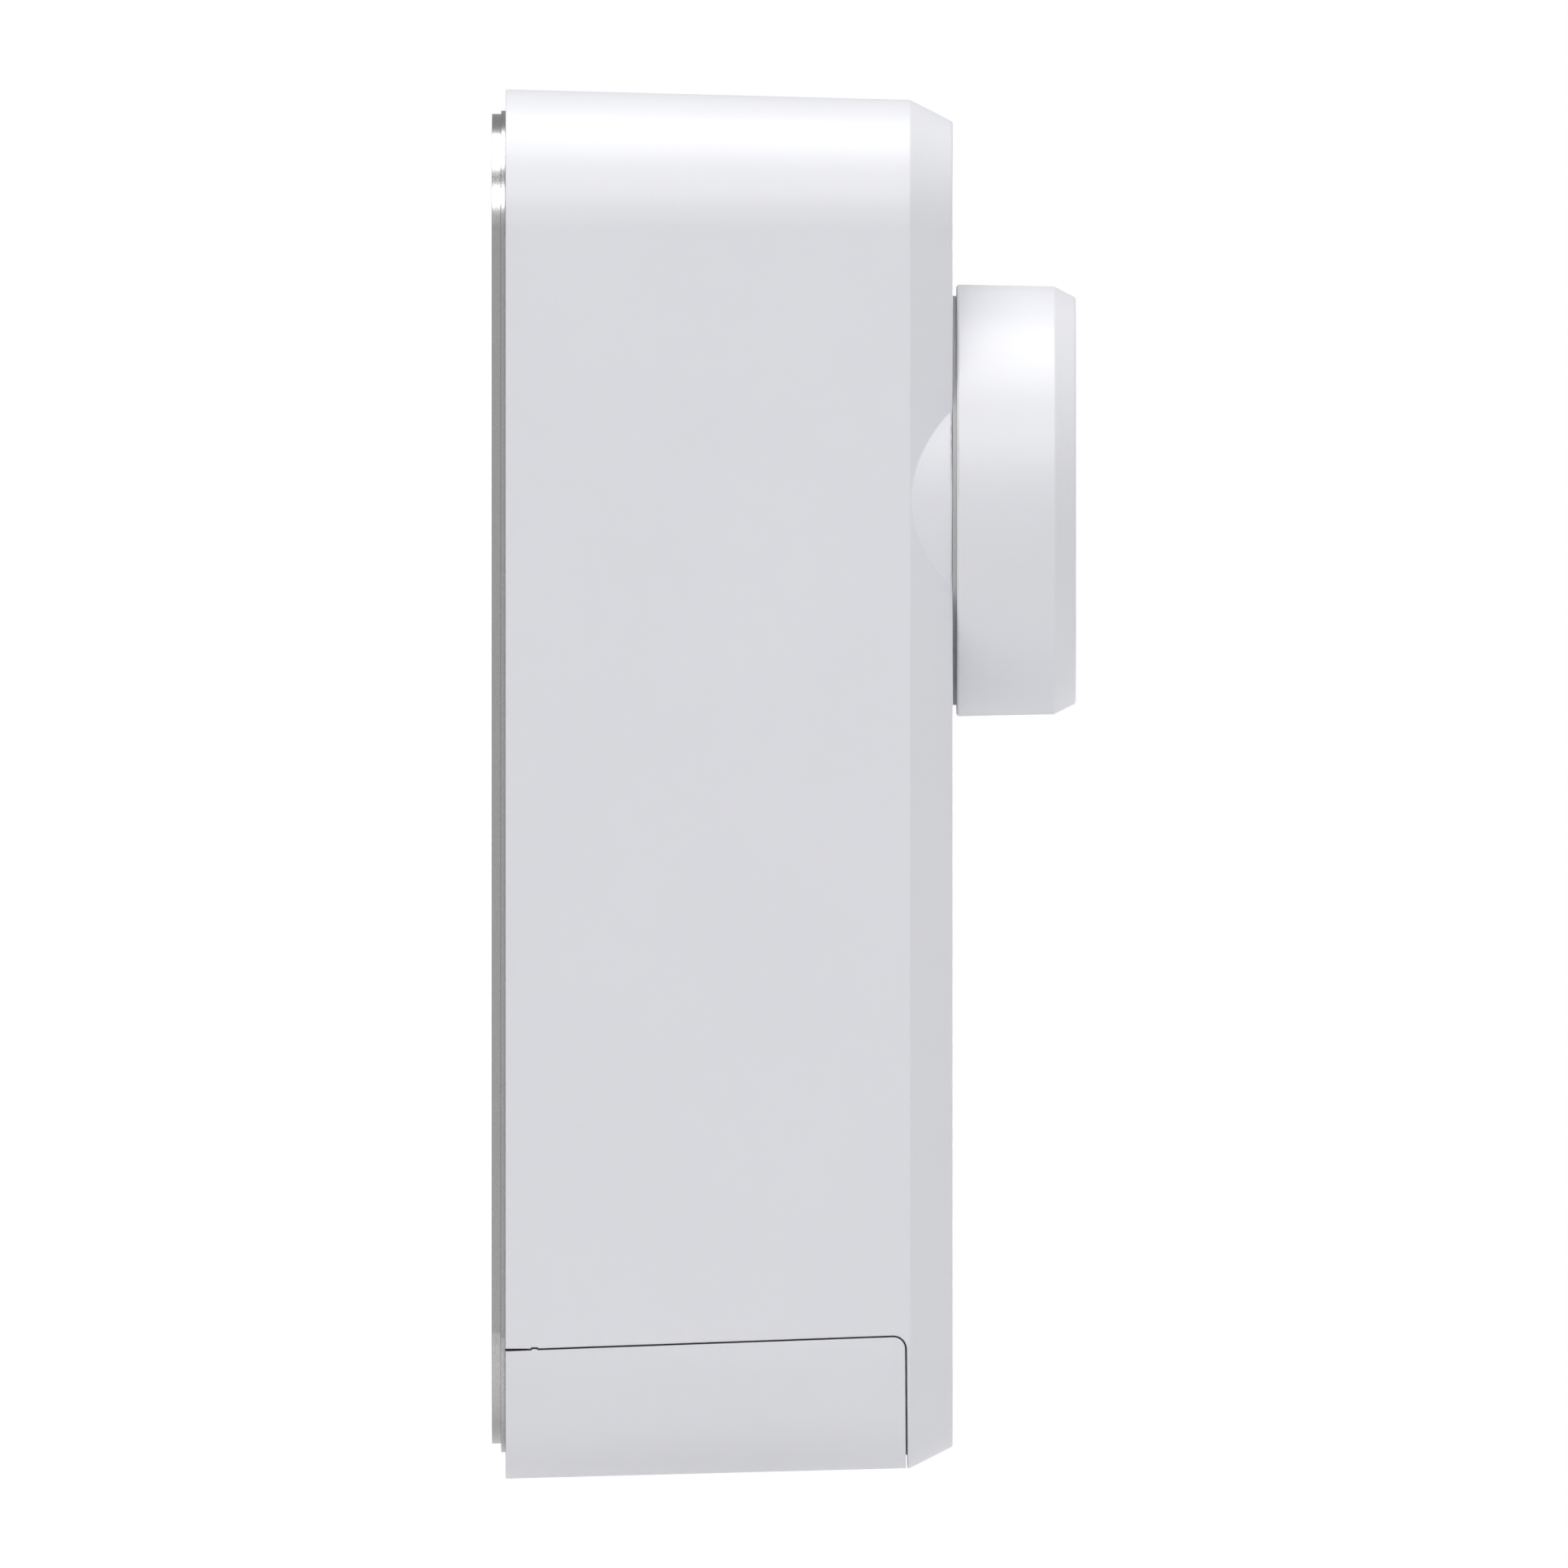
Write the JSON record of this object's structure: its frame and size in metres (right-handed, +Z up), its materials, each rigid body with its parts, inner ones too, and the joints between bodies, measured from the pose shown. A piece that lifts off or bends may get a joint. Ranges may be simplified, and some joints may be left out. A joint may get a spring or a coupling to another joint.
{
  "type": "video doorbell",
  "caption": "Wall-mounted video doorbell with a round turning camera head, call button with light ring, hook-on steel plate and a bottom cover over the charging bay.",
  "frame": {"origin": "midway between the two wall-screw holes, on the wall face of the mounting plate", "axes": "+Y into the wall, +Z up, X across the unit"},
  "size_m": [0.0426, 0.0576, 0.137],
  "materials": {
    "shell": "fine satin moulding",
    "steel": "fine brushed",
    "black_plastic": "matte moulding",
    "collar_plastic": "smooth self-lubricating moulding",
    "button_plastic": "soft gloss",
    "light_plastic": "milky translucent",
    "seal_rubber": "matte silicone",
    "bearing_plastic": "low-friction plastic",
    "window_glass": "smoked, polished",
    "brass": "machined",
    "circuit_board": "solder-masked laminate",
    "chip": "epoxy package",
    "sensor_can": "bright metal can",
    "cell_wrap": null
  },
  "bodies": {
    "wall_mount": {"mounting_plate": "steel", "security_screw": "steel"},
    "unit": {"rear_plate": "steel", "back_cover": "black_plastic", "back_seal": "seal_rubber", "rear_screws": "steel", "terminal_block": "black_plastic", "terminal_screws": "brass", "front_housing": "shell", "head_bearing_ring": "collar_plastic", "thrust_washer": "bearing_plastic", "camera_ribbon": "circuit_board", "light_ring": "light_plastic", "button_switch": "black_plastic", "pir_lens": "light_plastic", "pir_sensor": "sensor_can", "speaker": "black_plastic", "speaker_gasket": "seal_rubber", "speaker_mesh": "steel", "mic_boot": "seal_rubber", "microphone": "chip", "main_board": "circuit_board", "board_screws": "steel", "processor_shield": "steel", "board_chips": "chip", "status_leds": "chip", "wifi_antenna": "circuit_board", "batteries": "cell_wrap", "battery_tabs": "steel", "battery_cradle": "black_plastic", "bay_frame": "shell", "bay_board": "circuit_board", "usb_port": "steel", "reset_switch": "black_plastic"},
    "head": {"head_shell": "shell", "head_base": "black_plastic", "hub_o_ring": "seal_rubber", "circlip": "steel", "head_screws": "steel", "head_glass": "window_glass", "glass_seal": "seal_rubber", "window_mask": "black_plastic", "camera_bracket": "black_plastic", "lens_barrel": "black_plastic", "lens_glass": "window_glass", "sensor_board": "circuit_board", "ir_board": "circuit_board", "ir_leds": "chip"},
    "button": {"call_button": "button_plastic"},
    "plunger": {"switch_plunger": "black_plastic"},
    "cover": {"bottom_cover": "shell", "cover_screw": "steel"},
    "reset": {"reset_button": "black_plastic"}
  },
  "joints": [
    {"name": "unit_lift", "type": "slide", "parent": "wall_mount", "child": "unit", "axis": [0, 0, 1], "range_m": [0, 0.0055]},
    {"name": "head_turn", "type": "hinge", "parent": "unit", "child": "head", "pos_m": [0, 0, 0.028], "axis": [0, 1, 0], "range_deg": [-90, 90]},
    {"name": "button_press", "type": "slide", "parent": "unit", "child": "button", "axis": [0, 1, 0], "range_m": [0, 0.0006], "stiffness_N_per_m": 500, "springref_m": -0.002},
    {"name": "plunger_press", "type": "slide", "parent": "unit", "child": "plunger", "axis": [0, 1, 0], "range_m": [0, 0.0006]},
    {"name": "cover_slide", "type": "slide", "parent": "unit", "child": "cover", "axis": [0, 0, -1], "range_m": [0, 0.02]},
    {"name": "reset_press", "type": "slide", "parent": "unit", "child": "reset", "axis": [0, 0, 1], "range_m": [0, 0.0004], "stiffness_N_per_m": 500, "springref_m": -0.001}
  ],
  "couplings": [
    {"joint": "plunger_press", "follows": "button_press", "ratio": 1}
  ]
}
